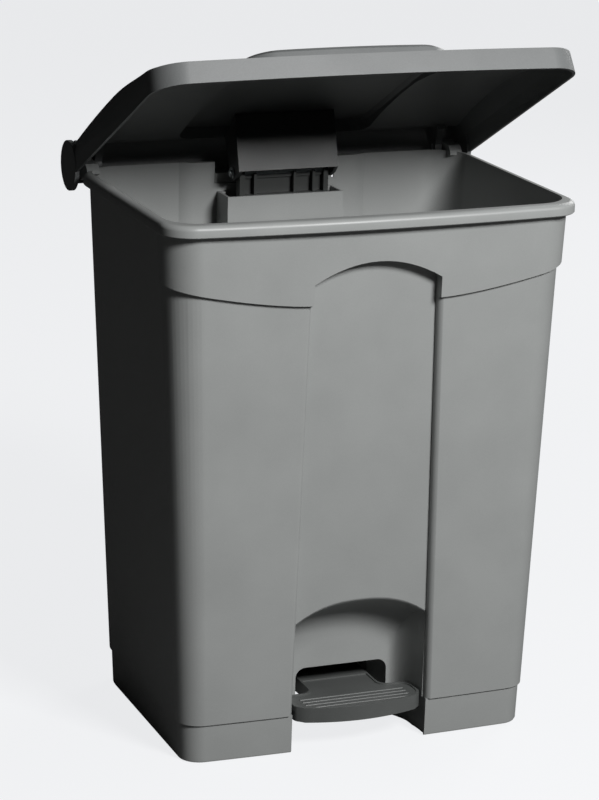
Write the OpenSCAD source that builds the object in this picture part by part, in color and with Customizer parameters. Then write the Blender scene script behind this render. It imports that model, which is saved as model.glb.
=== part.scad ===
/* [Bucket] */
// Half width of the body under the rim
body_top_hw = 238.6; // [225:0.1:240]
// Half width of the body at its lower edge
body_low_hw = 215; // [205:0.5:220]
// Front of the side panels under the rim, measured forward of the origin
body_top_front = 177.5; // [170:0.5:180]
// Front of the side panels at the lower edge
body_low_front = 162; // [155:0.5:165]
// Rear face of the body under the rim
body_top_rear = 158.6; // [155:0.1:160]
// Rear face of the body at its lower edge
body_low_rear = 151; // [148:0.5:153]
// Wall thickness of the moulded shells
wall = 3; // [2.5:0.1:3.5]
// Height of the bucket floor's upper face
floor_z = 100; // [98:1:106]

/* [Rim] */
// Half width over the rolled rim
rim_hw = 246; // [245:0.5:247]
// Front of the rolled rim
rim_front = 195; // [190:0.5:196]
// How far the rim's front bows back at its corners
rim_bow = 11.5; // [6:0.5:13]
// Height of the rim's lower edge
rim_low = 616; // [610:1:617]
// Height of the rim's top
rim_top = 630; // [628:0.5:631]

/* [Front] */
// Depth of the arched front recess
recess_depth = 11; // [8:0.5:12]
// Half width of the recess at the bottom
recess_low_hw = 83; // [80:0.5:84]
// Half width of the recess at the collar band
recess_top_hw = 75.5; // [74:0.5:78]
// Height of the top of the recess arch
recess_apex = 578.5; // [570:0.5:582]
// How proud the collar band stands
band_proud = 5; // [3:0.5:6]
// Height of the top of the toe niche
niche_apex = 173; // [165:1:178]
// Half width of the slot that the pedal passes through
slot_hw = 57; // [55:0.5:60]

/* [Base] */
// Height of the base plinth's visible band
plinth_h = 47; // [40:0.5:50]
// How far the plinth is set in from the body
plinth_inset = 2.5; // [2:0.1:3]
// Half width of the opening between the two front feet
well_hw = 83; // [80:0.5:84]

/* [Lid] */
// Half width over the lid's skirt
lid_hw = 251.5; // [250.5:0.1:253]
// Front of the lid's skirt when it is shut
lid_front = 199.5; // [199:0.1:201]
// Height of the lid's skirt lip when it is shut
lid_lip = 616; // [614:0.5:617]
// Height of the skirt's top edge when the lid is shut
lid_crease = 640.5; // [639:0.5:645]
// Height of the raised centre panel when the lid is shut
panel_z = 668.5; // [666:0.5:671]
// Half width of the raised centre panel
panel_hw = 122; // [110:1:130]
// How far the lid stands open as drawn
lid_open = 26.8; // [26:0.1:27.5]

/* [Hinge] */
// Hinge axis, rearward of the origin
hinge_y = 165.5; // [165:0.1:166]
// Height of the hinge axis
hinge_z = 631.5; // [631:0.1:632]
// Radius of the round hinge ends of the lid
ear_r = 29.5; // [28:0.1:30]
// Radius of the hinge pins
pin_r = 4; // [3.5:0.1:4.5]

/* [Mechanism] */
// Rod pin axis forward of the hinge axis, as drawn
crank_y = 43; // [42:0.5:44]
// Rod pin axis below the hinge axis, as drawn
crank_z = 10.5; // [9.5:0.1:11.5]
// Half width of the push rod
rod_hw = 56; // [54:0.5:56.5]
// Pedal axle, forward of the origin
axle_y = 30; // [28:0.5:32]
// Height of the pedal axle
axle_z = 42; // [41:0.5:43]
// Radius of the pedal axle
axle_r = 5; // [4.5:0.1:5.5]
// Half width of the foot pad
pad_hw = 78; // [75:0.5:79]
// Height of the foot pad's top
pad_z = 53.5; // [52:0.5:55]

/* [Hidden] */

body_grey = "#8e918e";
lid_grey = "#5e615f";
dark_grey = "#3c3e3d";
pedal_grey = "#626463";
steel = "#a9adb0";
rubber = "#202221";

// Clearance of a running fit, on the radius
fit = 0.05;
// Clearance between parts that only face each other
gap = 0.4;
// Overshoot of a cut beyond the surface it opens
cut = 1;
// Points along half of a bowed front edge, and along a corner
front_n = 8;
corner_n = 12;
// Facets on round pieces
round_fn = 48;

body_tilt = atan((body_top_front - body_low_front) / (rim_low - plinth_h));
rear_tilt = atan((body_top_rear - body_low_rear) / (rim_low - plinth_h));
body_low_bow = 5;
body_top_bow = 8;
corner_low = 29;
corner_top = 42;
rear_corner = 44;

flank_r = 8;
band_low = 531.5;
band_corner_z = 556;
arch_side_z = 556;
rear_recess = 8;
rear_recess_hw = 100;
rear_slant = 2.25;
notch_hw = 76;
notch_z = 604;

channel_hw = 70;
channel_front = 108.8;
channel_top = 595;
window_hw = 64;
cover_hw = 74;
cover_t = 2.5;
cover_top = 618;

niche_back = 100;
niche_side_z = 150;
slot_top = 79;
niche_depth = 50;

buffer_x = [-170, 170];
buffer_top = 636;

lug_in = 222.7;
lug_out = 238;
lug_r = 8;
boss_in = 212.5;
boss_out = lug_in - gap - 0.8;
boss_r = 9;
ear_t = 5;
ear_step = 0.8;

box_hw = 62.5;
box_t = 4.5;
rod_y = hinge_y - crank_y;
rod_z = hinge_z - crank_z;
rod_pin_r = 4;
rod_bottom = 62;
tail_y = 124;
tail_z = 38;
tail_r = 12;
foot_gap = 0.8;
rail_in = 50;
rail_t = 4;
deck_z = 72;
plinth_top = deck_z + wall;
lever_hw = 43;
foot_x = [-180, 180];
foot_y = [-125, 112];
foot_r = 10;
foot_t = 4;
base_lift = 1;
// Height of the pressed lever's top under the pedal buffers
buffer_z = 72.7;
screw_x = [-150, 150];
screw_y = [-95, 95];
cover_screw_x = [-69, 69];
crown_end = 144;
cover_screw_z = [90, 560];
lid_screw_x = [-26, 26];
lid_screw_y = [108, 128];

// Points of a circular arc, from angle a0 to angle a1.
function arc_points(cx, cy, r, a0, a1, n) =
    [for (i = [0:n]) let (a = a0 + (a1 - a0) * i / n) [cx + r * cos(a), cy + r * sin(a)]];

// Plan outline with a bowed front edge and round corners, the same count of points at every size.
function plan(hw, front, bow, rear, rf, rr) =
    let (slope = atan(2 * bow / hw),
         xe = hw - rf * (1 - sin(slope)),
         ye = bow * pow(xe / hw, 2) - front,
         cy = ye + rf * cos(slope),
         turn = (90 - slope) / corner_n)
    concat(
        [for (i = [-front_n:front_n]) let (x = xe * i / front_n) [x, bow * pow(x / hw, 2) - front]],
        arc_points(hw - rf, cy, rf, slope - 90 + turn, 0, corner_n - 1),
        arc_points(hw - rr, rear - rr, rr, 0, 90, corner_n),
        arc_points(rr - hw, rear - rr, rr, 90, 180, corner_n),
        arc_points(rf - hw, cy, rf, 180, 270 - slope - turn, corner_n - 1));

// Body outline at height z, moved inward by inset.
function body_plan(z, inset) =
    let (t = (z - plinth_h) / (rim_low - plinth_h))
    plan(body_low_hw + (body_top_hw - body_low_hw) * t - inset,
         body_low_front + (body_top_front - body_low_front) * t - inset,
         body_low_bow + (body_top_bow - body_low_bow) * t,
         body_low_rear + (body_top_rear - body_low_rear) * t - inset,
         corner_low + (corner_top - corner_low) * t - inset,
         rear_corner - inset);

// Rim outline, moved inward by inset.
function rim_plan(inset) =
    plan(rim_hw - inset, rim_front - inset, rim_bow, body_top_rear + 3 - inset, 37 - inset, 46 - inset);

// Inner outline behind the collar band, at height z.
function band_inner_plan(z, grow) =
    let (t = (z - plinth_h) / (rim_low - plinth_h))
    plan(body_low_hw + (body_top_hw - body_low_hw) * t - wall,
         body_low_front + (body_top_front - body_low_front) * t - wall + grow,
         body_top_bow,
         body_low_rear + (body_top_rear - body_low_rear) * t - wall,
         corner_top - wall,
         rear_corner - wall);

// Outline of a parabolic or fuller arch over a straight base.
function arch(hw, base, side, apex, power, n) =
    concat([[-hw, base], [hw, base]],
           [for (i = [0:n]) let (u = 1 - 2 * i / n) [hw * u, side + (apex - side) * (1 - pow(abs(u), power))]]);

// Solid through a stack of outlines with equal counts of points.
module loft(heights, outlines) {
    n = len(outlines[0]);
    last = len(heights) - 1;
    points = [for (k = [0:last]) for (p = outlines[k]) [p[0], p[1], heights[k]]];
    sides = [for (k = [0:last - 1]) for (i = [0:n - 1])
        let (a = k * n + i, b = k * n + (i + 1) % n)
        each [[a, a + n, b], [b, a + n, b + n]]];
    polyhedron(points, concat([[for (i = [0:n - 1]) i]], [[for (i = [n - 1:-1:0]) last * n + i]], sides));
}

// Cylinder along X from x0 to x1 about an axis at y, z.
module bar_x(x0, x1, y, z, r) {
    translate([x0, y, z]) rotate([90, 0, 90]) cylinder(h = x1 - x0, r = r, $fn = round_fn);
}

// Plate normal to X, its outline given in y and z.
module plate_x(x0, x1, outline) {
    translate([x0, 0, 0]) rotate([90, 0, 90]) linear_extrude(height = x1 - x0) polygon(outline);
}

// Box from its lowest to its highest corner.
module block(low, high) {
    translate(low) cube(high - low);
}

module mirrored() {
    children();
    mirror([1, 0, 0]) children();
}

// Turns a piece drawn on the shut lid to the open pose.
module lid_turn() {
    translate([0, hinge_y, hinge_z]) rotate([-lid_open, 0, 0]) translate([0, -hinge_y, -hinge_z]) children();
}

// Everything in front of the recess panel, inside the arched outline grown by grow.
module recess_prism(grow) {
    base = plinth_h;
    translate([0, recess_depth + grow - body_low_front, base])
        rotate([90 + body_tilt, 0, 0]) {
        recess_flanks(grow);
        linear_extrude(height = 60)
        polygon(concat(
            [[-recess_low_hw - grow, -40], [recess_low_hw + grow, -40],
             [recess_top_hw + grow, band_low + 4 - base]],
            [for (i = [0:16]) let (u = 1 - i / 8)
                [(recess_top_hw + grow) * u, arch_side_z - base + (recess_apex + grow - arch_side_z) * (1 - u * u)]],
            [[-recess_top_hw - grow, band_low + 4 - base]]));
    }
}

// The rounded edges of the recess under the collar band: straight for a little, then an arc to the side panels.
module recess_flanks(grow) {
    straight = 2.5;
    r = flank_r - grow;
    arcs = [for (k = [0:7]) 11 * k];
    function flank(widen) = [[-recess_low_hw - widen, -1], [recess_low_hw + widen, -1],
                             [recess_top_hw + widen, band_low - 1.5 - plinth_h],
                             [-recess_top_hw - widen, band_low - 1.5 - plinth_h]];
    function out(a) = flank_r - r * cos(a);
    loft(concat([0], [for (a = arcs) straight + grow + r * sin(a)], [60]),
         concat([flank(grow)], [for (a = arcs) flank(out(a))], [flank(out(77))]));
}

// The scoop over the pedal: arches that grow along a quarter ellipse from its back wall to its mouth.
module niche_prism(grow) {
    base = -10;
    power = 2.5;
    n = 14;
    turns = [for (k = [0:8]) 90 * k / 8];
    lips = [[1.5, 0.6], [3, 1.8], [4, 3.4], [4.7, 5.2]];
    function mouth(share, lift) = arch(
        60 + 21 * share + grow, base,
        92 + (niche_side_z - 92) * share + grow + lift,
        112 + (niche_apex - 112) * share + grow + lift,
        power, n);
    rotate([90, 0, 0]) loft(
        concat([for (a = turns) niche_back - grow + niche_depth * (1 - cos(a))],
               [for (l = lips) niche_back + niche_depth - grow + l[0]],
               [niche_back + niche_depth + 30]),
        concat([for (a = turns) mouth(sin(a), 0)], [for (l = lips) mouth(1.01, l[1])], [mouth(1.01, 5.2)]));
}

// Raised collar that wraps the front and fades out along the sides.
module collar_band() {
    fade = 40;
    low_z = 520;
    function collar_outline(z) =
        let (t = (z - plinth_h) / (rim_low - plinth_h),
             hw = body_low_hw + (body_top_hw - body_low_hw) * t,
             outline = plan(hw + band_proud - 1, body_low_front + (body_top_front - body_low_front) * t + band_proud,
                            body_top_bow, fade, corner_top, corner_top))
        [for (p = outline) p[1] < fade - corner_top - 1 ? p : [sign(p[0]) * min(abs(p[0]), hw - 1.5), p[1]]];
    intersection() {
        loft([low_z, rim_low + cut], [collar_outline(low_z), collar_outline(rim_low + cut)]);
        translate([0, 100, 0]) rotate([90, 0, 0]) linear_extrude(height = 400) polygon(concat(
            [[-260, 640], [-260, band_corner_z + 10]],
            [for (i = [0:12]) let (u = 1 - i / 12) [-recess_top_hw - 155 * u, band_low + 24 * pow(u, 1.5)]],
            [for (i = [0:12]) let (u = i / 12) [recess_top_hw + 155 * u, band_low + 24 * pow(u, 1.5)]],
            [[260, band_corner_z + 10], [260, 640]]));
    }
}

// Upright zone at the rear with slanted sides, set in from the outer face, its walls moved inward by grow.
module rear_zone(grow, top) {
    function zone(z) =
        let (hw = rear_recess_hw + 0.2 * grow, depth = rear_recess + grow,
             y = body_low_rear + (z - plinth_h) * tan(rear_tilt))
        [[-hw, y - depth], [hw, y - depth], [hw + rear_slant * depth, y], [hw + rear_slant * depth, y + 60],
         [-hw - rear_slant * depth, y + 60], [-hw - rear_slant * depth, y]];
    loft([-20, top], [zone(-20), zone(top)]);
}

module bucket_outer() {
    loft([plinth_h, rim_low + 2], [body_plan(plinth_h, 0), body_plan(rim_low + 2, 0)]);
    collar_band();
    loft([rim_low, rim_low + 1, rim_top - 6, rim_top - 3.4, rim_top - 1.2, rim_top],
         [rim_plan(1), rim_plan(0), rim_plan(0), rim_plan(0.9), rim_plan(3), rim_plan(6.2)]);
}

module bucket_inner() {
    difference() {
        loft([floor_z, 525, 552, rim_low, rim_top + cut],
             [body_plan(floor_z, wall), body_plan(525, wall), band_inner_plan(552, 3.5),
              band_inner_plan(rim_low, 3.5), band_inner_plan(rim_top + cut, 6)]);
        recess_prism(wall);
        niche_prism(wall);
        rear_zone(wall, rim_top + 5);
        block([-channel_hw - wall, channel_front, 0], [channel_hw + wall, 200, channel_top]);
    }
}

module skirt_inner() {
    difference() {
        loft([plinth_h - cut, floor_z - wall], [body_plan(plinth_h - cut, wall), body_plan(floor_z - wall, wall)]);
        recess_prism(wall);
        niche_prism(wall);
        rear_zone(wall, rim_top);
    }
}

module hinge_lug() {
    difference() {
        union() {
            bar_x(lug_in, lug_out, hinge_y, hinge_z, lug_r);
            plate_x(lug_in, lug_out,
                    [[134, rim_top - 4], [150, rim_low + 3], [hinge_y - 4, rim_low - 2],
                     [hinge_y + lug_r - 1, hinge_z - 5], [hinge_y, hinge_z + 6], [140, hinge_z + 5.5],
                     [134, rim_top]]);
        }
        bar_x(lug_in - cut, lug_out + cut, hinge_y, hinge_z, pin_r + fit);
    }
}

module bucket() {
    color(body_grey) {
        difference() {
            bucket_outer();
            bucket_inner();
            skirt_inner();
            recess_prism(0);
            niche_prism(0);
            rear_zone(0, rim_low - 6);
            block([-channel_hw, channel_front + wall, 0], [channel_hw, 150 - rear_recess, channel_top + cut]);
            block([-window_hw, 120, 0], [window_hw, 200, notch_z - 8]);
            block([-notch_hw, channel_front + wall, notch_z], [notch_hw, 200, rim_top + 5]);
            block([-slot_hw, -niche_back - 12, 0], [slot_hw, -niche_back + 12, slot_top - 12]);
            translate([0, 12 - niche_back, slot_top - 12]) rotate([90, 0, 0]) linear_extrude(height = 24)
                polygon(concat(arc_points(slot_hw - 12, 0, 12, 0, 90, 8), arc_points(12 - slot_hw, 0, 12, 90, 180, 8),
                               [[-slot_hw, -2], [slot_hw, -2]]));
            mirrored() bar_x(boss_in - 2, lug_in, hinge_y, hinge_z, boss_r + 2);
            for (x = cover_screw_x, z = cover_screw_z)
                translate([x, 0, z]) rotate([-90, 0, 0]) cylinder(h = 200, r = 1.6, $fn = round_fn);
        }
        mirrored() hinge_lug();
        for (x = screw_x, y = screw_y)
            translate([x, y, plinth_top + gap]) difference() {
                cylinder(h = floor_z - wall - plinth_top - gap + 1, r = 7, $fn = round_fn);
                translate([0, 0, -cut]) cylinder(h = 18, r = 2, $fn = round_fn);
            }
    }
}

module rear_cover() {
    color(body_grey) difference() {
        translate([0, body_low_rear - rear_recess + gap, plinth_h]) rotate([90 - rear_tilt, 0, 0])
            translate([0, 0, -cover_t]) linear_extrude(height = cover_t)
            polygon([[-cover_hw, gap], [cover_hw, gap], [cover_hw, cover_top - plinth_h - 2],
                     [-cover_hw, cover_top - plinth_h - 2]]);
        for (x = cover_screw_x, z = cover_screw_z)
            translate([x, 120, z]) rotate([-90, 0, 0]) cylinder(h = 60, r = 2.2, $fn = round_fn);
    }
}

// Pan head screw pointing along -Z, its head's underside at the origin.
module screw(length, r, head_r) {
    translate([0, 0, -length]) cylinder(h = length + 0.5, r = r, $fn = round_fn);
    difference() {
        cylinder(h = 2.2, r = head_r, $fn = round_fn);
        translate([-head_r * 0.6, -0.5, 1.4]) cube([head_r * 1.2, 1, 2]);
        translate([-0.5, -head_r * 0.6, 1.4]) cube([1, head_r * 1.2, 2]);
    }
}

module rear_cover_screws() {
    color(steel) for (x = cover_screw_x, z = cover_screw_z)
        translate([x, body_low_rear - rear_recess + gap + cover_t + 0.2 + (z - plinth_h) * tan(rear_tilt), z])
            rotate([-90, 0, 0]) screw(5.2, 1.55, 3.4);
}

// Half outline of the well wall behind the front opening, widened by grow.
function well_side(grow) = [
    for (i = [0:12]) let (u = i / 12, y = -160 + 102 * u)
    [well_hw + grow - (well_hw - rail_in) * (u < 0.45 ? 0.08 * u : 0.036 + 0.964 * pow((u - 0.45) / 0.55, 1.6)), y]];

module well_prism(grow, z0, z1) {
    right = well_side(grow);
    translate([0, 0, z0]) linear_extrude(height = z1 - z0) polygon(concat(
        [[-well_hw - grow, -200], [well_hw + grow, -200]],
        right,
        [[rail_in + grow, 118], [-rail_in - grow, 118]],
        [for (i = [len(right) - 1:-1:0]) [-right[i][0], right[i][1]]]));
}

module base_plinth() {
    color(body_grey) difference() {
        union() {
            difference() {
                union() {
                    loft([0, 3, plinth_h], [body_plan(0, plinth_inset + 1.5), body_plan(3, plinth_inset),
                                            body_plan(plinth_h, plinth_inset)]);
                    difference() {
                        loft([plinth_h - cut, plinth_top],
                             [body_plan(plinth_h - cut, wall + gap), body_plan(plinth_top, wall + gap)]);
                        recess_prism(wall + gap);
                        niche_prism(wall + gap);
                        rear_zone(wall + gap, rim_top);
                    }
                }
                loft([-cut, deck_z], [body_plan(-cut, plinth_inset + wall), body_plan(deck_z, 2 * wall + gap)]);
            }
            intersection() {
                loft([0, plinth_h, plinth_h + 0.01, plinth_top],
                     [body_plan(0, plinth_inset + 1.5), body_plan(plinth_h, plinth_inset),
                      body_plan(plinth_h, wall + gap), body_plan(plinth_top, wall + gap)]);
                difference() {
                    well_prism(rail_t, 0, plinth_top);
                    niche_prism(wall + gap);
                    block([-300, -300, plinth_h], [300, 13 - niche_back, 200]);
                }
            }
            intersection() {
                loft([plinth_h - 4, plinth_h], [body_plan(plinth_h, plinth_inset), body_plan(plinth_h, plinth_inset)]);
                block([-116, 138, 0], [116, 160, 100]);
            }
            mirrored() bar_x(rail_in, rail_in + 9, -axle_y, axle_z, 12);
            for (x = foot_x, y = foot_y)
                translate([x, y, foot_t]) cylinder(h = deck_z - foot_t + 1, r = foot_r, $fn = round_fn);
        }
        well_prism(0, -cut, plinth_top + cut);
        block([-rail_in, 112, -cut], [rail_in, 143, plinth_top + cut]);
        block([-rod_hw - 3, 108, 56], [rod_hw + 3, 143, plinth_top + cut]);
        bar_x(-100, 100, -axle_y, axle_z, axle_r + 2 + fit);
        for (x = screw_x, y = screw_y)
            translate([x, y, 0]) cylinder(h = 100, r = 2.4, $fn = round_fn);
        for (x = foot_x, y = foot_y)
            translate([x, y, 0]) cylinder(h = 30, r = foot_r - 2, $fn = round_fn);
        block([-300, -300, -cut], [300, 300, base_lift]);
    }
}

module plinth_screws() {
    color(steel) for (x = screw_x, y = screw_y)
        translate([x, y, deck_z]) rotate([180, 0, 0]) screw(16, 1.95, 4.5);
}

// Height of the lid's arched top over its crease: an S from the front to the middle, then a slow fall.
function crown(y) =
    let (t = min((y + lid_front) / 200, 1), back = max(y - 20, 0) / 105)
    21.2 * t * t * (3 - 2 * t) - 5.2 * back * back;

// Side profile of the shut lid, moved inward by inset: skirt, arched top and rear roll.
function lid_profile(inset) =
    let (r = ear_r - ear_step - inset,
         y0 = inset - lid_front,
         low = lid_lip - (inset > 0 ? 8 : 0),
         top = [for (i = [0:14]) let (u = i / 14, y = y0 + 2 + (crown_end - y0 - 2) * u)
             [y, lid_crease - inset + crown(y)]],
         roll = arc_points(hinge_y, hinge_z, r, 128, -25, 15))
    concat([[y0, low]], top, roll, [[roll[15][0], low]]);

module lid_form(inset) {
    low = lid_lip - (inset > 0 ? 8 : 0);
    function lid_plan(side, front, rf) = plan(lid_hw - inset - side, lid_front - inset - front, rim_bow - 2,
                                              hinge_y + ear_r + 30, rf - inset, 12);
    intersection() {
        plate_x(-lid_hw, lid_hw, lid_profile(inset));
        loft([low, lid_crease - inset, lid_crease + 23],
             [lid_plan(0, 0, 40), lid_plan(1.5, 1.5, 40), lid_plan(12, 12, 36)]);
    }
    raised_panel(inset);
}

// Raised centre panel with sloping shoulders.
module raised_panel(inset) {
    function panel_plan(grow) = plan(panel_hw + grow - inset, 139 + grow - inset, 6, 152 - inset, 36, 20);
    loft([lid_crease - inset - (inset > 0 ? 2 : 6), panel_z - 4 - inset, panel_z - inset],
         [panel_plan(7), panel_plan(0), panel_plan(-5)]);
}

module lid() {
    color(lid_grey) lid_turn() {
        difference() {
            union() {
                difference() {
                    lid_form(0);
                    lid_form(wall);
                }
                mirrored() bar_x(lid_hw - ear_t, lid_hw, hinge_y, hinge_z, ear_r);
            }
            mirrored() bar_x(lid_hw - ear_t - cut, lid_hw - 1.5, hinge_y, hinge_z, pin_r + fit);
        }
        mirrored() difference() {
            union() {
                bar_x(boss_in, boss_out, hinge_y, hinge_z, boss_r);
                plate_x(boss_in, boss_out,
                        [[hinge_y - boss_r, hinge_z], [hinge_y + boss_r, hinge_z], [hinge_y + 12, 656],
                         [hinge_y, 659], [hinge_y - 16, 653], [hinge_y - 24, 653.5], [hinge_y - 24, 646]]);
            }
            bar_x(boss_in - cut, boss_out + cut, hinge_y, hinge_z, pin_r + fit);
        }
        for (x = buffer_x)
            translate([x, -178, buffer_top]) cylinder(h = 4, r = 6.5, $fn = round_fn);
        for (x = lid_screw_x, y = lid_screw_y)
            translate([x, y, 652]) difference() {
                cylinder(h = 15, r = 5, $fn = round_fn);
                translate([0, 0, -cut]) cylinder(h = 11, r = 1.8, $fn = round_fn);
            }
    }
}

module lid_buffers() {
    color(rubber) lid_turn() for (x = buffer_x)
        translate([x, -178, rim_top + gap]) cylinder(h = buffer_top - rim_top - gap, r1 = 4, r2 = 5, $fn = round_fn);
}

module hinge_pin(side) {
    color(steel) mirror([side < 0 ? 1 : 0, 0, 0])
        bar_x(boss_in, lid_hw - 2, hinge_y, hinge_z, pin_r);
}

module hinge_pin_left() { hinge_pin(-1); }
module hinge_pin_right() { hinge_pin(1); }

// Cheek outline of the lever box on the shut lid.
box_front_top = [96, 664.5];
box_front_low = [110, 598];
box_cheek = [box_front_top, box_front_low, [120, 594.5], [134, 594], [140, 601], [140, 651.5], [136, 651.5]];

// Rod pin axis on the shut lid.
crank_r = sqrt(crank_y * crank_y + crank_z * crank_z);
crank_a = atan2(crank_z, crank_y) + lid_open;
shut_pin_y = hinge_y - crank_r * cos(crank_a);
shut_pin_z = hinge_z - crank_r * sin(crank_a);

module lid_lever_box() {
    color(dark_grey) lid_turn() difference() {
        union() {
            mirrored() plate_x(box_hw - box_t, box_hw, box_cheek);
            plate_x(-box_hw, box_hw, [box_front_top, box_front_low, [113, 598.8], [99.3, 664.5]]);
            block([-box_hw, 101, 648.5], [box_hw, 140, 651.8]);
            mirrored() bar_x(box_hw - box_t, box_hw, shut_pin_y, shut_pin_z, 8.5);
            plate_x(-2, 2, [[99, 652], [112, 604], [116, 620], [112, 650]]);
        }
        bar_x(-100, 100, shut_pin_y, shut_pin_z, rod_pin_r + fit);
        for (x = lid_screw_x, y = lid_screw_y)
            translate([x, y, 640]) cylinder(h = 20, r = 2.4, $fn = round_fn);
    }
}

module lever_box_screws() {
    color(steel) lid_turn() for (x = lid_screw_x, y = lid_screw_y)
        translate([x, y, 648.4]) rotate([180, 0, 0]) screw(12, 1.75, 3.8);
}

module rod_top_pin() {
    color(steel) bar_x(-box_hw - 4, box_hw + 4, rod_y, rod_z, rod_pin_r);
}

module rod_pin_clips() {
    color(steel) mirrored() difference() {
        bar_x(box_hw + 0.6, box_hw + 1.8, rod_y, rod_z, 7);
        bar_x(box_hw, box_hw + 3, rod_y, rod_z, rod_pin_r);
        block([box_hw, rod_y - 2.6, rod_z - 10], [box_hw + 3, rod_y + 2.6, rod_z]);
    }
}

module push_rod() {
    back = rod_y + 3;
    color(dark_grey) difference() {
        union() {
            difference() {
                bar_x(-rod_hw, rod_hw, rod_y, rod_z, 7.5);
                block([-rod_hw + 6, rod_y - 10, rod_z - 10], [rod_hw - 6, rod_y - 1, rod_z + 10]);
            }
            block([-rod_hw + 6, back - 1.5, rod_bottom], [rod_hw - 6, back + 1.5, rod_z]);
            mirrored() block([rod_hw - 6, rod_y - 7, rod_bottom], [rod_hw, back + 1.5, rod_z]);
            for (x = [-38, 12, 36])
                block([x, rod_y - 7, rod_bottom], [x + 3, back + 1.5, rod_z]);
            for (z = [rod_bottom, 130, 240, 350, 460, 550, 592])
                block([-rod_hw + 1, rod_y - 6, z], [rod_hw - 1, back, z + 3]);
        }
        bar_x(-100, 100, rod_y, rod_z, rod_pin_r + fit);
    }
}

module rod_foot_shoe() {
    low = tail_z + tail_r + foot_gap;
    color(rubber) difference() {
        block([-40, rod_y - 9, low], [40, rod_y + 9, rod_bottom + 8]);
        block([-60, rod_y - 7 - 0.01, rod_bottom], [60, rod_y + 4.5 + 0.01, rod_bottom + 20]);
    }
}

// Plan of the T shaped foot plate, moved inward by inset.
function pedal_plan(inset) =
    let (hw = pad_hw - inset, rear = -117 - inset, nk = lever_hw - inset)
    concat(
        [for (i = [-8:8]) let (x = (hw - 10) * i / 8) [x, -173 + inset + 15 * pow(x / hw, 2)]],
        arc_points(hw - 10, -148 + inset, 10, -60, 0, 4),
        arc_points(hw - 14, rear - 14, 14, 0, 90, 6),
        arc_points(nk + 12, rear + 12, 12, 270, 180, 5),
        [[nk, 20], [-nk, 20]],
        arc_points(-nk - 12, rear + 12, 12, 360, 270, 5),
        arc_points(14 - hw, rear - 14, 14, 90, 180, 6),
        arc_points(10 - hw, -148 + inset, 10, 180, 240, 4));

module pedal() {
    skin = 4;
    low = pad_z - 16.5;
    color(pedal_grey) difference() {
        union() {
            difference() {
                translate([0, 0, low]) linear_extrude(height = 16.5 + 1.2) polygon(pedal_plan(0));
                translate([0, 0, pad_z]) linear_extrude(height = 5) intersection() {
                    polygon(pedal_plan(2.6));
                    translate([-100, -200]) square([200, 120]);
                }
                difference() {
                    translate([0, 0, low - cut]) linear_extrude(height = 16.5 - skin + cut) polygon(pedal_plan(3));
                    for (x = [-22, 22])
                        block([x - 1.5, -180, 0], [x + 1.5, 20, 80]);
                }
                block([-100, -10, 0], [100, 30, 100]);
            }
            for (y = [-159, -150.5, -142, -133.5])
                translate([0, y, pad_z - 0.5]) rotate([0, 90, 0]) translate([0, 0, -64])
                    cylinder(h = 128, r = 1.4, $fn = round_fn);
            mirrored() plate_x(lever_hw - 5, lever_hw,
                [[-80, low + 1], [-axle_y - 12, 34], [-axle_y, 30], [-axle_y + 12, 32], [100, 27],
                 [tail_y, tail_z - tail_r + 1], [tail_y, tail_z + 9], [100, 47], [-10, 56], [-80, pad_z]]);
            block([-lever_hw, -20, 50], [lever_hw, -7, 54.7]);
            plate_x(-lever_hw, lever_hw, [[-9, 51], [100, 43], [116, 43], [116, 46.8], [100, 46.9], [-9, 54.9]]);
            mirrored() bar_x(lever_hw - 6, lever_hw, -axle_y, axle_z, 11);
            bar_x(-lever_hw, lever_hw, tail_y, tail_z, tail_r);
        }
        bar_x(-100, 100, -axle_y, axle_z, axle_r + fit);
        bar_x(-lever_hw + 6, lever_hw - 6, tail_y, tail_z, tail_r - 4);
    }
}

module pedal_axle() {
    color(steel) bar_x(-rail_in - 13, rail_in + 13, -axle_y, axle_z, axle_r);
}

module axle_bush() {
    color("#d9d8d0") difference() {
        union() {
            bar_x(rail_in - 2, rail_in + 9, -axle_y, axle_z, axle_r + 2);
            bar_x(lever_hw + 0.6, rail_in - 0.2, -axle_y, axle_z, axle_r + 5);
        }
        bar_x(0, 100, -axle_y, axle_z, axle_r + fit);
    }
}

module axle_bush_left() { mirror([1, 0, 0]) axle_bush(); }
module axle_bush_right() { axle_bush(); }

module axle_clips() {
    color(steel) mirrored() difference() {
        bar_x(rail_in + 9.4, rail_in + 10.8, -axle_y, axle_z, axle_r + 4);
        bar_x(rail_in + 9, rail_in + 12, -axle_y, axle_z, axle_r);
        block([rail_in + 9, -axle_y - 3.2, axle_z - 12], [rail_in + 12, -axle_y + 3.2, axle_z]);
    }
}

module pedal_rest_buffer() {
    color(rubber) for (x = [-30, 30])
        translate([x, 85, buffer_z]) cylinder(h = floor_z - wall - buffer_z, r1 = 5, r2 = 7, $fn = round_fn);
}

module rubber_feet() {
    color(rubber) for (x = foot_x, y = foot_y)
        translate([x, y, 0]) {
            cylinder(h = foot_t - 0.2, r = foot_r, $fn = round_fn);
            cylinder(h = 16, r = foot_r - 2 - fit, $fn = round_fn);
        }
}

bucket();
rear_cover();
rear_cover_screws();
base_plinth();
plinth_screws();
rubber_feet();
lid();
lid_buffers();
hinge_pin_left();
hinge_pin_right();
lid_lever_box();
lever_box_screws();
rod_top_pin();
rod_pin_clips();
push_rod();
rod_foot_shoe();
pedal();
pedal_axle();
axle_bush_left();
axle_bush_right();
axle_clips();
pedal_rest_buffer();
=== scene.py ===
"""Step-on litter pail, dressed around its packed construction.

Lengths are in metres unless a name ends in _mm.
"""
import math

import bmesh
import bpy
from mathutils import Matrix, Vector


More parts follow.
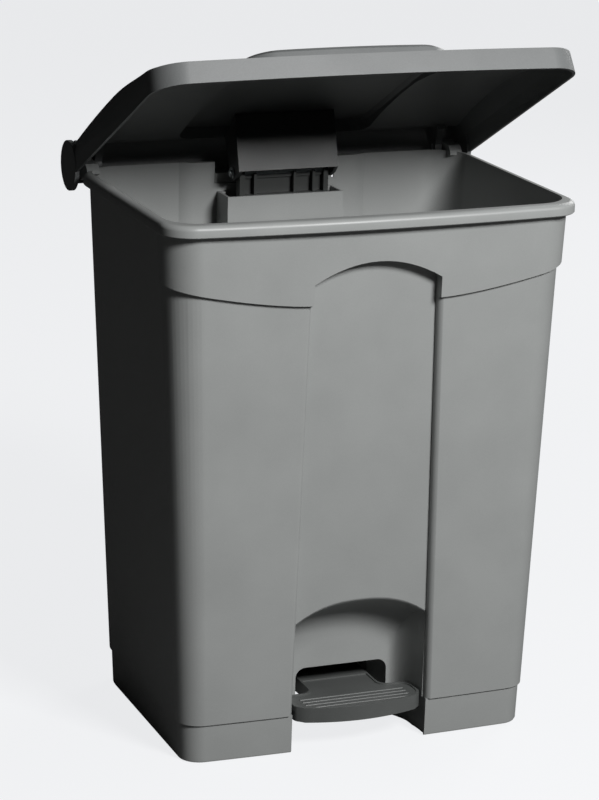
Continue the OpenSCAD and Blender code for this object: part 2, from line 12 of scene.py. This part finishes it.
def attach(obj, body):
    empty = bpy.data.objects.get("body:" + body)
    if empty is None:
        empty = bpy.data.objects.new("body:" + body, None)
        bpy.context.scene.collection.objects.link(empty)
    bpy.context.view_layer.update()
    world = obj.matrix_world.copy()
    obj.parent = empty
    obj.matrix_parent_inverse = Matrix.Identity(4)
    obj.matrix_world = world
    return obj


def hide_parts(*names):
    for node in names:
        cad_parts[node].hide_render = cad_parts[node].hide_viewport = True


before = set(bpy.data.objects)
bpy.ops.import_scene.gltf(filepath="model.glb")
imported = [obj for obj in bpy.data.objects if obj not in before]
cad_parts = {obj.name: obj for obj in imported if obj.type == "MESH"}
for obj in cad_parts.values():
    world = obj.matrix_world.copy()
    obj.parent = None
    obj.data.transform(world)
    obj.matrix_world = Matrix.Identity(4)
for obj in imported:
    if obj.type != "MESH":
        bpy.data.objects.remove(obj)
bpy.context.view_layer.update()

MM = 0.001

# Camera, as the photograph was taken
FRAME_W, FRAME_H = 599, 800
FOCAL_PX = 2877.6
SENSOR = 36.0
YAW, PITCH, ROLL = math.radians(21.56), math.radians(-15.65), math.radians(1.27)
TARGET = Vector((-0.0201, 0.0, 0.3729))
DISTANCE = 3.3596
FAR_CLIP = 200

# Stage: its colour, and how strongly it glows or returns light
BACKDROP = "#EDEEF0"
FLOOR_REACH = 40.0
FLOOR_GLOW = 0.95
FLOOR_MATT = (0.10, 0.10, 0.10, 1.0)
FLOOR_UNSEEN = (0.12, 0.12, 0.12, 1.0)
SURROUND_SEEN = 1.0
SURROUND_UNSEEN = 0.02

# Refractive indices of the moulded materials
PLASTIC_IOR = 1.49
RUBBER_IOR = 1.52

# Clean-up of a merged copy, and the angles from which an edge is rounded or shaded sharp
MERGE_MM = 0.002
FLAT_ANGLE = math.radians(0.4)
ROUNDED_ANGLE = math.radians(35)
SHARP_ANGLE = math.radians(60)
LARGE_FACE_WEIGHT = 60


def linear(code):
    """Linear RGBA of an sRGB hex colour."""
    parts = [int(code[i:i + 2], 16) / 255 for i in (1, 3, 5)]
    return tuple(c / 12.92 if c <= 0.04045 else ((c + 0.055) / 1.055) ** 2.4 for c in parts) + (1.0,)


def add_node(tree, kind, inputs=None, **settings):
    """Adds one node. inputs maps a socket's name or number to a value or another node's output socket."""
    made = tree.nodes.new(kind)
    for name, value in settings.items():
        setattr(made, name, value)
    for key, value in (inputs or {}).items():
        if isinstance(value, bpy.types.NodeSocket):
            tree.links.new(value, made.inputs[key])
        else:
            made.inputs[key].default_value = value
    return made


def empty_tree(owner, output_kind):
    """The owner's node tree with nothing in it but an output node."""
    owner.use_nodes = True
    tree = owner.node_tree
    tree.nodes.clear()
    return tree, add_node(tree, output_kind)


def new_material(name):
    """An empty material with its output node, its tree and its object coordinates."""
    material = bpy.data.materials.new(name)
    tree, output = empty_tree(material, "ShaderNodeOutputMaterial")
    place = add_node(tree, "ShaderNodeTexCoord").outputs["Object"]
    return material, tree, output, place


def grain_height(tree, place, grain_mm, cloud_mm):
    """Height of a spark-eroded mould grain: fine cells plus a slow waviness of the cooled wall."""
    fine = add_node(tree, "ShaderNodeTexNoise", {
        "Vector": place, "Scale": 1 / (grain_mm * MM), "Detail": 3.0, "Roughness": 0.6})
    slow = add_node(tree, "ShaderNodeTexNoise", {
        "Vector": place, "Scale": 1 / (cloud_mm * MM), "Detail": 1.0})
    return add_node(tree, "ShaderNodeMath", {0: slow.outputs["Fac"], 1: 0.35, 2: fine.outputs["Fac"]},
                    operation="MULTIPLY_ADD").outputs[0]


def moulded_plastic(name, colour, light_colour, roughness, grain_mm, depth_mm):
    """Injection-moulded plastic: an even pigment, a faint flow mottle and a fine grain that dulls it."""
    flow_mm, speck_mm, waviness_mm = 90, 1.6, 22
    material, tree, output, place = new_material(name)
    flow = add_node(tree, "ShaderNodeTexNoise", {
        "Vector": place, "Scale": 1 / (flow_mm * MM), "Detail": 4.0, "Roughness": 0.55})
    speck = add_node(tree, "ShaderNodeTexNoise", {
        "Vector": place, "Scale": 1 / (speck_mm * MM), "Detail": 2.0})
    blend = add_node(tree, "ShaderNodeMath", {0: speck.outputs["Fac"], 1: 0.45, 2: flow.outputs["Fac"]},
                     operation="MULTIPLY_ADD")
    share = add_node(tree, "ShaderNodeMapRange", {
        "Value": blend.outputs[0], "From Min": 0.5, "From Max": 0.95})
    tint = add_node(tree, "ShaderNodeMix", {
        "Factor": share.outputs[0], "A": linear(colour), "B": linear(light_colour)}, data_type="RGBA")
    sheen = add_node(tree, "ShaderNodeMapRange", {
        "Value": flow.outputs["Fac"], "From Min": 0.3, "From Max": 0.7,
        "To Min": roughness - 0.04, "To Max": roughness + 0.05})
    bump = add_node(tree, "ShaderNodeBump", {
        "Height": grain_height(tree, place, grain_mm, waviness_mm), "Distance": depth_mm * MM,
        "Strength": 1.0})
    shader = add_node(tree, "ShaderNodeBsdfPrincipled", {
        "Base Color": tint.outputs["Result"], "Roughness": sheen.outputs[0], "IOR": PLASTIC_IOR,
        "Normal": bump.outputs[0]})
    tree.links.new(shader.outputs[0], output.inputs["Surface"])
    return material


def plated_steel(name):
    """Zinc-plated steel: cool grey metal with a soft, slightly cloudy shine."""
    cloud_mm, depth_mm = 3, 0.02
    material, tree, output, place = new_material(name)
    cloud = add_node(tree, "ShaderNodeTexNoise", {
        "Vector": place, "Scale": 1 / (cloud_mm * MM), "Detail": 5.0})
    tint = add_node(tree, "ShaderNodeMix", {
        "Factor": cloud.outputs["Fac"], "A": linear("#8E9396"), "B": linear("#C4C8CA")}, data_type="RGBA")
    rough = add_node(tree, "ShaderNodeMapRange", {
        "Value": cloud.outputs["Fac"], "To Min": 0.25, "To Max": 0.5})
    bump = add_node(tree, "ShaderNodeBump", {"Height": cloud.outputs["Fac"], "Distance": depth_mm * MM})
    shader = add_node(tree, "ShaderNodeBsdfPrincipled", {
        "Base Color": tint.outputs["Result"], "Metallic": 1.0, "Roughness": rough.outputs[0],
        "Normal": bump.outputs[0]})
    tree.links.new(shader.outputs[0], output.inputs["Surface"])
    return material


def moulded_rubber(name):
    """Moulded black rubber: nearly matt, with a fine bloom."""
    bloom_mm, depth_mm = 2, 0.04
    material, tree, output, place = new_material(name)
    bloom = add_node(tree, "ShaderNodeTexNoise", {
        "Vector": place, "Scale": 1 / (bloom_mm * MM), "Detail": 4.0})
    tint = add_node(tree, "ShaderNodeMix", {
        "Factor": bloom.outputs["Fac"], "A": linear("#1A1B1B"), "B": linear("#2C2E2D")}, data_type="RGBA")
    bump = add_node(tree, "ShaderNodeBump", {"Height": bloom.outputs["Fac"], "Distance": depth_mm * MM})
    shader = add_node(tree, "ShaderNodeBsdfPrincipled", {
        "Base Color": tint.outputs["Result"], "Roughness": 0.75, "IOR": RUBBER_IOR,
        "Normal": bump.outputs[0]})
    tree.links.new(shader.outputs[0], output.inputs["Surface"])
    return material


body_plastic = moulded_plastic("moulded_polypropylene_body", "#898B8A", "#8F9190",
                               roughness=0.45, grain_mm=0.9, depth_mm=0.03)
lid_plastic = moulded_plastic("moulded_polypropylene_lid", "#646666", "#6E7070",
                              roughness=0.46, grain_mm=1.3, depth_mm=0.11)
dark_plastic = moulded_plastic("moulded_polypropylene_dark", "#2B2D2C", "#313332",
                               roughness=0.46, grain_mm=0.9, depth_mm=0.03)
pedal_plastic = moulded_plastic("moulded_glass_filled_nylon_pedal", "#4A4C4B", "#545655",
                                roughness=0.42, grain_mm=0.8, depth_mm=0.04)
nylon = moulded_plastic("moulded_natural_nylon", "#D2D0C6", "#DEDCD2",
                        roughness=0.35, grain_mm=0.8, depth_mm=0.02)
steel = plated_steel("zinc_plated_steel")
rubber = moulded_rubber("moulded_black_rubber")


def set_material(piece, material):
    """Gives the piece this one material."""
    piece.data.materials.clear()
    piece.data.materials.append(material)


def moulded_copy(node, name, body, material, radius_mm, segments):
    """A merged copy of a construction node whose sharp edges get the small radius that a mould leaves."""
    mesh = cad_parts[node].data.copy()
    mesh.name = name
    tool = bmesh.new()
    tool.from_mesh(mesh)
    bmesh.ops.remove_doubles(tool, verts=tool.verts, dist=MERGE_MM * MM)
    bmesh.ops.dissolve_limit(tool, angle_limit=FLAT_ANGLE, verts=tool.verts, edges=tool.edges)
    tool.to_mesh(mesh)
    tool.free()
    piece = bpy.data.objects.new(name, mesh)
    bpy.context.scene.collection.objects.link(piece)
    set_material(piece, material)
    mesh.shade_smooth()
    bevel = piece.modifiers.new("edge_radius", "BEVEL")
    bevel.width = radius_mm * MM
    bevel.segments = segments
    bevel.limit_method = "ANGLE"
    bevel.angle_limit = ROUNDED_ANGLE
    bevel.use_clamp_overlap = True
    shade = piece.modifiers.new("even_shading", "WEIGHTED_NORMAL")
    shade.keep_sharp = True
    shade.weight = LARGE_FACE_WEIGHT
    mesh.set_sharp_from_angle(angle=SHARP_ANGLE)
    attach(piece, body)
    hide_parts(node)


moulded_copy("bucket", "bucket_shell", "bin", body_plastic, radius_mm=1.2, segments=3)
moulded_copy("base_plinth", "base_plinth_shell", "bin", body_plastic,
             radius_mm=0.8, segments=2)
moulded_copy("rear_cover", "rear_cover_panel", "bin", body_plastic,
             radius_mm=0.6, segments=2)
moulded_copy("lid", "lid_shell", "lid_group", lid_plastic, radius_mm=1.4, segments=3)
moulded_copy("lid_lever_box", "lever_box_shell", "lid_group", dark_plastic,
             radius_mm=0.7, segments=2)
moulded_copy("push_rod", "push_rod_bar", "rod_group", dark_plastic, radius_mm=0.5, segments=2)
moulded_copy("pedal", "pedal_plate", "pedal_group", pedal_plastic, radius_mm=0.8, segments=3)

for name in ("rear_cover_screws", "plinth_screws", "lever_box_screws", "hinge_pin_left", "hinge_pin_right",
             "rod_top_pin", "rod_pin_clips", "pedal_axle", "axle_clips"):
    set_material(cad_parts[name], steel)
for name in ("rubber_feet", "lid_buffers", "rod_foot_shoe", "pedal_rest_buffer"):
    set_material(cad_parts[name], rubber)
for name in ("axle_bush_left", "axle_bush_right"):
    set_material(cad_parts[name], nylon)


def seen_share(tree):
    """1 for a ray that comes straight from the camera or through something clear, 0 for any other."""
    path = add_node(tree, "ShaderNodeLightPath")
    rays = {0: path.outputs["Is Camera Ray"], 1: path.outputs["Is Transmission Ray"]}
    return add_node(tree, "ShaderNodeMath", rays, operation="MAXIMUM").outputs[0]


def pale_floor():
    """A pale floor that keeps a soft shadow. It glows only where it is seen, so it doesn't light the pail."""
    mesh = bpy.data.meshes.new("floor")
    reach = FLOOR_REACH
    mesh.from_pydata([(-reach, -reach, 0), (reach, -reach, 0), (reach, reach, 0), (-reach, reach, 0)], [],
                     [(0, 1, 2, 3)])
    floor = bpy.data.objects.new("floor", mesh)
    bpy.context.scene.collection.objects.link(floor)
    material = bpy.data.materials.new("matt_paper_sweep")
    tree, output = empty_tree(material, "ShaderNodeOutputMaterial")
    glow = add_node(tree, "ShaderNodeEmission", {"Color": linear(BACKDROP), "Strength": FLOOR_GLOW})
    matt = add_node(tree, "ShaderNodeBsdfDiffuse", {"Color": FLOOR_MATT})
    both = add_node(tree, "ShaderNodeAddShader", {0: glow.outputs[0], 1: matt.outputs[0]})
    unseen = add_node(tree, "ShaderNodeBsdfDiffuse", {"Color": FLOOR_UNSEEN})
    mixed = add_node(tree, "ShaderNodeMixShader", {
        0: seen_share(tree), 1: unseen.outputs[0], 2: both.outputs[0]})
    tree.links.new(mixed.outputs[0], output.inputs["Surface"])
    set_material(floor, material)


def pale_surround():
    """A surround of the floor's colour where it is seen, and a faint even light elsewhere."""
    world = bpy.data.worlds.new("pale_surround")
    bpy.context.scene.world = world
    tree, output = empty_tree(world, "ShaderNodeOutputWorld")
    pale = add_node(tree, "ShaderNodeBackground", {"Color": linear(BACKDROP), "Strength": SURROUND_SEEN})
    ambient = add_node(tree, "ShaderNodeBackground", {"Color": linear(BACKDROP), "Strength": SURROUND_UNSEEN})
    mixed = add_node(tree, "ShaderNodeMixShader", {
        0: seen_share(tree), 1: ambient.outputs[0], 2: pale.outputs[0]})
    tree.links.new(mixed.outputs[0], output.inputs["Surface"])


def softbox(name, place, aim, width, height, power):
    """A rectangular soft light at place, facing aim. power is in watts."""
    lamp = bpy.data.lights.new(name, "AREA")
    lamp.shape = "RECTANGLE"
    lamp.size = width
    lamp.size_y = height
    lamp.energy = power
    light = bpy.data.objects.new(name, lamp)
    light.location = place
    light.rotation_euler = (Vector(aim) - Vector(place)).to_track_quat("-Z", "Y").to_euler()
    bpy.context.scene.collection.objects.link(light)


def photo_camera():
    """The photograph's viewpoint: yaw about the vertical, pitch, then roll about the line of sight."""
    forward = Vector((math.sin(YAW) * math.cos(PITCH), math.cos(YAW) * math.cos(PITCH), math.sin(PITCH)))
    level = Vector((math.cos(YAW), -math.sin(YAW), 0))
    upright = level.cross(forward)
    right = math.cos(ROLL) * level + math.sin(ROLL) * upright
    up = math.cos(ROLL) * upright - math.sin(ROLL) * level
    data = bpy.data.cameras.new("photo_camera")
    data.sensor_width = SENSOR
    data.lens = SENSOR * FOCAL_PX / max(FRAME_W, FRAME_H)
    data.clip_end = FAR_CLIP
    camera = bpy.data.objects.new("photo_camera", data)
    turn = Matrix((right, up, -forward)).transposed().to_4x4()
    camera.matrix_world = Matrix.Translation(TARGET - forward * DISTANCE) @ turn
    bpy.context.scene.collection.objects.link(camera)
    bpy.context.scene.camera = camera


pale_floor()
pale_surround()
softbox("key", place=(0.72, -2.6, 2.2), aim=(0, 0, 0.5), width=0.8, height=0.7, power=132)
softbox("rear_fill", place=(2.6, 1.9, 1.9), aim=(0, 0, 0.4), width=1.4, height=1.4, power=42)
photo_camera()

bpy.context.scene.view_settings.view_transform = "Standard"
